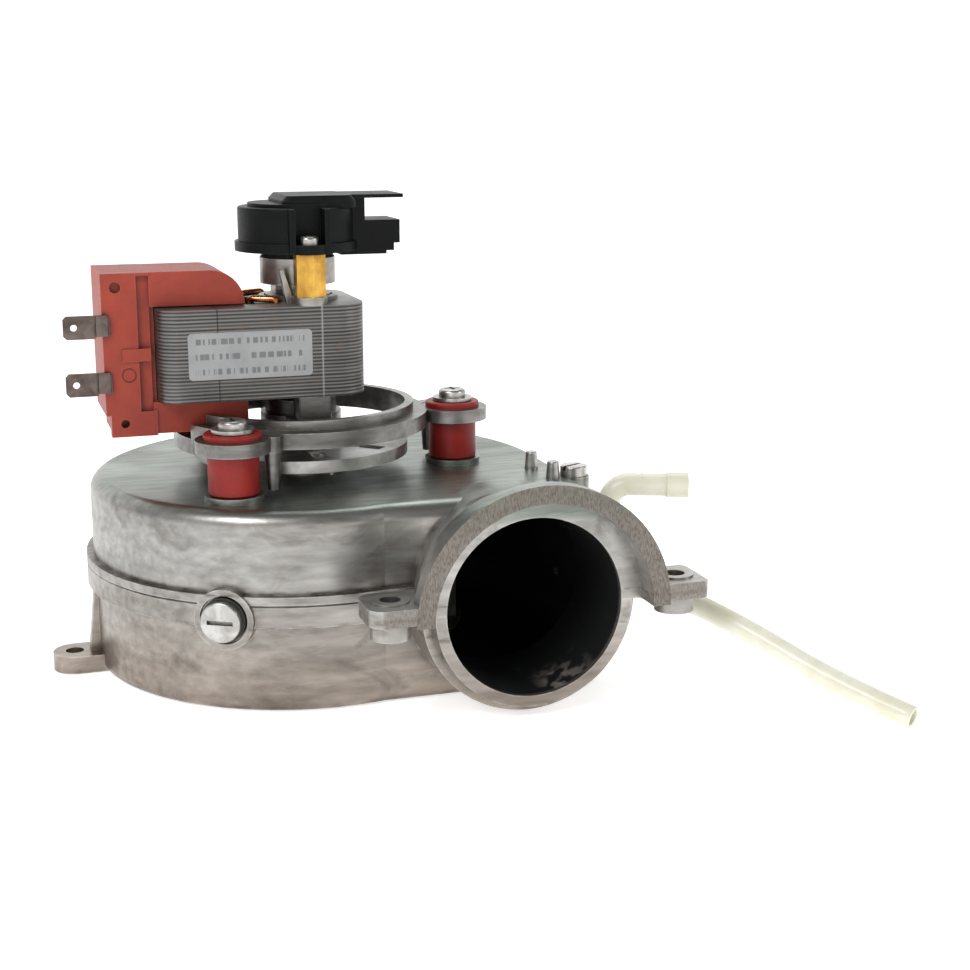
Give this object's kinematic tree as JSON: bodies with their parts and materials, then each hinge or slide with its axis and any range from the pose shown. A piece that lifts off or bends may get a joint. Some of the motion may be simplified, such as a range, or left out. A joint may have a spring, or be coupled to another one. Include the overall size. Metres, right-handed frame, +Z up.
{
  "type": "combustion fan",
  "caption": "Boiler flue-gas fan: die-cast scroll casing with side outlet, shaded-pole motor on rubber bushes above, speed sensor on top and pressure hoses.",
  "frame": {"origin": "centre of the inlet opening in the casing's base, on the shaft axis", "axes": "+Z up along the shaft from the inlet to the motor; -Y out of the outlet; +X towards the outlet side of the scroll"},
  "size_m": [0.2094, 0.1866, 0.1324],
  "materials": {
    "cast_aluminium": "die-cast, lightly streaked",
    "lamination_steel": "stacked laminations",
    "zinc_steel": "zinc plated",
    "sheet_steel": "aluminised sheet",
    "red_silicone": "satin",
    "clear_silicone": "translucent",
    "red_moulding": "moulded thermoset",
    "natural_moulding": "moulded",
    "copper": "enamelled copper",
    "brass": "turned",
    "black_moulding": "moulded",
    "board": "circuit board",
    "label_foil": "printed foil, left blank",
    "seal_rubber": "matt",
    "tinned_brass": "tinned",
    "sintered_bronze": "porous, oiled"
  },
  "bodies": {
    "housing": {"lower_casing": "cast_aluminium", "upper_casing": "cast_aluminium", "casing_screws": "zinc_steel", "slotted_screw": "zinc_steel", "locating_pins": "zinc_steel", "plug_washer": "seal_rubber", "test_plug": "zinc_steel", "hose_nipple": "brass", "pressure_hose": "clear_silicone", "elbow_nipple": "brass", "pressure_elbow": "clear_silicone", "bush_front": "red_silicone", "bush_right": "red_silicone", "bush_rear": "red_silicone", "bush_sleeves": "zinc_steel", "bush_screws": "zinc_steel", "motor_bracket": "cast_aluminium", "lower_bearing": "sintered_bronze", "upper_bearing": "sintered_bronze", "stator_stack": "lamination_steel", "coil_core": "lamination_steel", "bobbin": "natural_moulding", "coil_winding": "copper", "coil_cover": "red_moulding", "terminal_upper": "tinned_brass", "terminal_lower": "tinned_brass", "shading_rings": "copper", "rating_label": "label_foil", "stack_bolts": "zinc_steel", "bearing_bridge": "cast_aluminium", "brass_standoffs": "brass", "sensor_cap": "black_moulding", "cap_screws": "zinc_steel", "sensor_board": "board", "connector_pins": "tinned_brass"},
    "rotor": {"shaft": "zinc_steel", "rotor_pack": "lamination_steel", "rotor_end_rings": "cast_aluminium", "sensor_magnet": "black_moulding", "cooling_wheel": "sheet_steel", "impeller": "sheet_steel", "impeller_hub": "zinc_steel", "impeller_nut": "zinc_steel"}
  },
  "joints": [
    {"name": "rotor_spin", "type": "hinge", "parent": "housing", "child": "rotor", "pos_m": [0, 0, 0.03], "axis": [0, 0, 1], "continuous": true}
  ]
}
